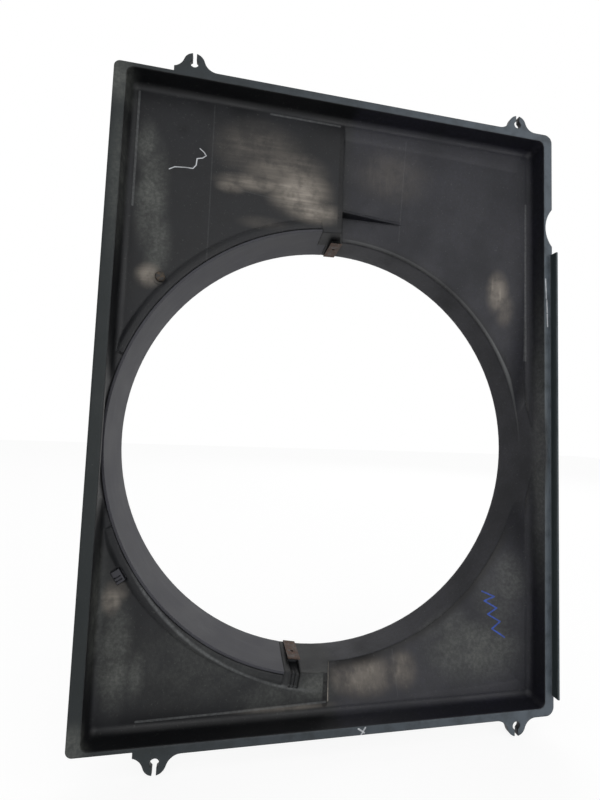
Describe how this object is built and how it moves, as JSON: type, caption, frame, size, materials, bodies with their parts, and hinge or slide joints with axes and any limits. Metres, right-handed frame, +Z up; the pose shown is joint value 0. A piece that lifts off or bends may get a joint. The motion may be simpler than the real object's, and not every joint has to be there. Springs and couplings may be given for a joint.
{
  "type": "radiator fan shroud",
  "caption": "Moulded pan that seals a fan to a radiator face: round duct, removable half ring held by spring clips, push rivet and latch, and slotted fixing ears.",
  "frame": {"origin": "middle of the four ear holes, on the radiator face of the flange", "axes": "+Z up as the shroud hangs in the view it was modelled from, +X across, +Y along the fan axis away from the radiator"},
  "size_m": [0.476, 0.0796, 0.6728],
  "materials": {
    "body_plastic": "moulded black polypropylene, dusty",
    "ring_plastic": "moulded dark grey polypropylene, satin",
    "clip_steel": "spring steel, surface rust",
    "rivet_plastic": "moulded, dusty"
  },
  "bodies": {
    "shroud": {"shroud_body": "body_plastic"},
    "half_ring": {"half_ring": "ring_plastic"},
    "upper_clip": {"spring_clip_upper": "clip_steel"},
    "lower_clip": {"spring_clip_lower": "clip_steel"},
    "rivet": {"push_rivet": "rivet_plastic"}
  },
  "joints": [
    {"name": "half_ring_off", "type": "slide", "parent": "shroud", "child": "half_ring", "axis": [0, 1, 0], "range_m": [0, 0.075]},
    {"name": "upper_clip_off", "type": "slide", "parent": "half_ring", "child": "upper_clip", "axis": [0, 1, 0], "range_m": [0, 0.035]},
    {"name": "lower_clip_off", "type": "slide", "parent": "half_ring", "child": "lower_clip", "axis": [0, 1, 0], "range_m": [0, 0.035]},
    {"name": "rivet_out", "type": "slide", "parent": "shroud", "child": "rivet", "axis": [0, -1, 0], "range_m": [0, 0.018]}
  ]
}
